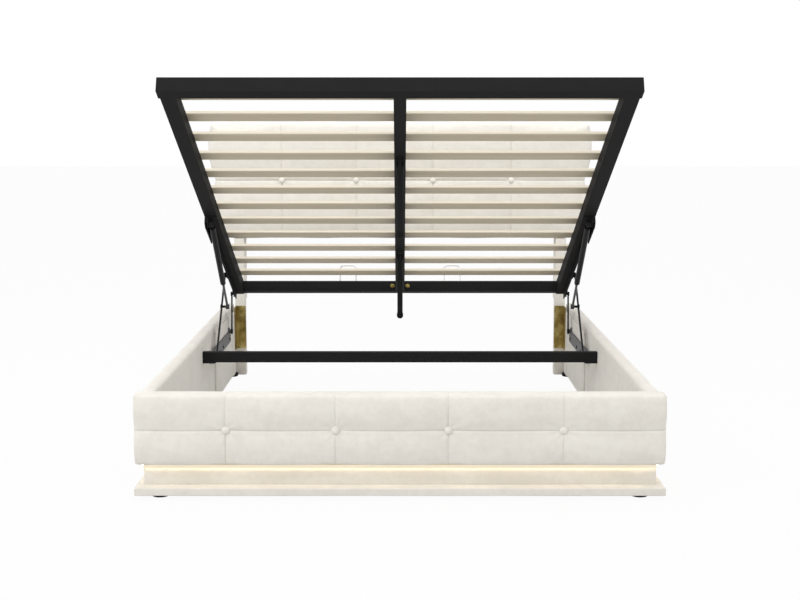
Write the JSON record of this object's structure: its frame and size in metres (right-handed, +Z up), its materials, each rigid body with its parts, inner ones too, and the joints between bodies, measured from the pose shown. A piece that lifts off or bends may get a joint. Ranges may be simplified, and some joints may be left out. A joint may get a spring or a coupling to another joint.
{
  "type": "ottoman storage bed",
  "caption": "Upholstered storage bed with tufted headboard and footboard, lit plinth, and a slatted base that lifts on links and gas struts.",
  "frame": {"origin": "middle of the whole bed's footprint at floor level", "axes": "+X across the bed, +Y towards the headboard, +Z up"},
  "size_m": [1.7464, 2.2, 1.3024],
  "materials": {
    "velvet": "cream velvet over foam",
    "button_velvet": "cream velvet over a moulded button",
    "board": "raw board, fully covered",
    "lining_cloth": "cream rear cloth",
    "aluminium": "satin anodised",
    "diffuser": "warm white, glowing",
    "black_plastic": "matte",
    "yellow_zinc": "yellow zinc plated",
    "grey_steel": "grey powder coat",
    "bolt_steel": "zinc plated",
    "black_steel": "black powder coat",
    "dark_steel": "black nitrided and polished",
    "wire": "bright plated wire",
    "slat_wood": "sealed birch"
  },
  "bodies": {
    "base": {"footboard_panel": "board", "footboard_upholstery": "velvet", "footboard_buttons": "button_velvet", "side_rail_panel_left": "board", "side_rail_panel_right": "board", "side_rail_upholstery_left": "velvet", "side_rail_upholstery_right": "velvet", "side_rail_pad_left": "velvet", "side_rail_pad_right": "velvet", "plinth_riser_front": "velvet", "plinth_riser_left": "velvet", "plinth_riser_right": "velvet", "plinth_ledge_front": "velvet", "plinth_ledge_left": "velvet", "plinth_ledge_right": "velvet", "light_channel": "aluminium", "light_strip": "diffuser", "feet": "black_plastic", "headboard_panel": "board", "headboard_upholstery": "velvet", "headboard_buttons": "button_velvet", "headboard_back": "lining_cloth", "headboard_leg_left": "velvet", "headboard_leg_right": "velvet", "corner_bracket_left": "yellow_zinc", "corner_bracket_right": "yellow_zinc", "bracket_bolts": "yellow_zinc", "crossbar": "black_steel", "crossbar_seats": "black_steel", "crossbar_bolts": "bolt_steel", "base_plate_left": "grey_steel", "base_plate_right": "grey_steel", "base_screws": "bolt_steel"},
    "front_link_left": {"front_link_left": "black_steel"},
    "front_link_right": {"front_link_right": "black_steel"},
    "rear_link_left": {"rear_link_left": "black_steel"},
    "rear_link_right": {"rear_link_right": "black_steel"},
    "lift_frame": {"foot_bar": "black_steel", "head_bar": "black_steel", "side_tube_left": "black_steel", "side_tube_right": "black_steel", "centre_spine": "black_steel", "slats_left": "slat_wood", "slats_right": "slat_wood", "slat_holders": "black_plastic", "bar_end_caps": "black_plastic", "mattress_stops": "wire", "spine_bolts": "yellow_zinc", "upper_angle_left": "black_steel", "upper_angle_right": "black_steel", "centre_leg_brackets": "black_steel"},
    "strut_cylinder_left": {"strut_cylinder_left": "black_steel"},
    "strut_cylinder_right": {"strut_cylinder_right": "black_steel"},
    "strut_rod_left": {"strut_rod_left": "dark_steel"},
    "strut_rod_right": {"strut_rod_right": "dark_steel"},
    "centre_leg_front": {"centre_leg_front": "black_steel", "leg_tip_front": "black_plastic"},
    "centre_leg_rear": {"centre_leg_rear": "black_steel", "leg_tip_rear": "black_plastic"}
  },
  "joints": [
    {"name": "lift", "type": "hinge", "parent": "base", "child": "front_link_left", "pos_m": [-0.745, 0.24354, 0.222], "axis": [-1, 0, 0], "range_deg": [0, 40.78], "stiffness_Nm_per_rad": 200, "springref_deg": -114.59},
    {"name": "front_link_right_swing", "type": "hinge", "parent": "base", "child": "front_link_right", "pos_m": [0.745, 0.24354, 0.222], "axis": [-1, 0, 0], "range_deg": [0, 40.78]},
    {"name": "rear_link_left_swing", "type": "hinge", "parent": "base", "child": "rear_link_left", "pos_m": [-0.745, 0.74688, 0.244], "axis": [-1, 0, 0], "range_deg": [0, 81.02]},
    {"name": "rear_link_right_swing", "type": "hinge", "parent": "base", "child": "rear_link_right", "pos_m": [0.745, 0.74688, 0.244], "axis": [-1, 0, 0], "range_deg": [0, 81.02]},
    {"name": "frame_tilt", "type": "hinge", "parent": "front_link_left", "child": "lift_frame", "pos_m": [-0.745, 0.54197, 0.51638], "axis": [1, 0, 0], "range_deg": [0, 66.18]},
    {"name": "strut_swing_left", "type": "hinge", "parent": "lift_frame", "child": "strut_cylinder_left", "pos_m": [-0.721, -0.00628, 0.77782], "axis": [1, 0, 0], "range_deg": [0, 14.49]},
    {"name": "strut_slide_left", "type": "slide", "parent": "strut_cylinder_left", "child": "strut_rod_left", "axis": [0, -0.7492, 0.6624], "range_m": [0, 0.13222]},
    {"name": "strut_swing_right", "type": "hinge", "parent": "lift_frame", "child": "strut_cylinder_right", "pos_m": [0.721, -0.00628, 0.77782], "axis": [1, 0, 0], "range_deg": [0, 14.49]},
    {"name": "strut_slide_right", "type": "slide", "parent": "strut_cylinder_right", "child": "strut_rod_right", "axis": [0, -0.7492, 0.6624], "range_m": [0, 0.13222]},
    {"name": "centre_leg_front_swing", "type": "hinge", "parent": "lift_frame", "child": "centre_leg_front", "pos_m": [0, -0.4972, 1.022], "axis": [-1, 0, 0], "range_deg": [0, 25.4]},
    {"name": "centre_leg_rear_swing", "type": "hinge", "parent": "lift_frame", "child": "centre_leg_rear", "pos_m": [0, 0.35645, 0.61666], "axis": [-1, 0, 0], "range_deg": [0, 25.4]}
  ],
  "couplings": [
    {"joint": "front_link_right_swing", "follows": "lift", "ratio": 1},
    {"joint": "rear_link_left_swing", "follows": "lift", "ratio": 1.9869},
    {"joint": "rear_link_right_swing", "follows": "lift", "ratio": 1.9869},
    {"joint": "frame_tilt", "follows": "lift", "ratio": 1.6229},
    {"joint": "strut_swing_left", "follows": "lift", "ratio": 0.35541},
    {"joint": "strut_slide_left", "follows": "lift", "m_per_rad": 0.18576},
    {"joint": "strut_swing_right", "follows": "lift", "ratio": 0.35541},
    {"joint": "strut_slide_right", "follows": "lift", "m_per_rad": 0.18576},
    {"joint": "centre_leg_front_swing", "follows": "lift", "ratio": 0.62287},
    {"joint": "centre_leg_rear_swing", "follows": "lift", "ratio": 0.62287}
  ]
}
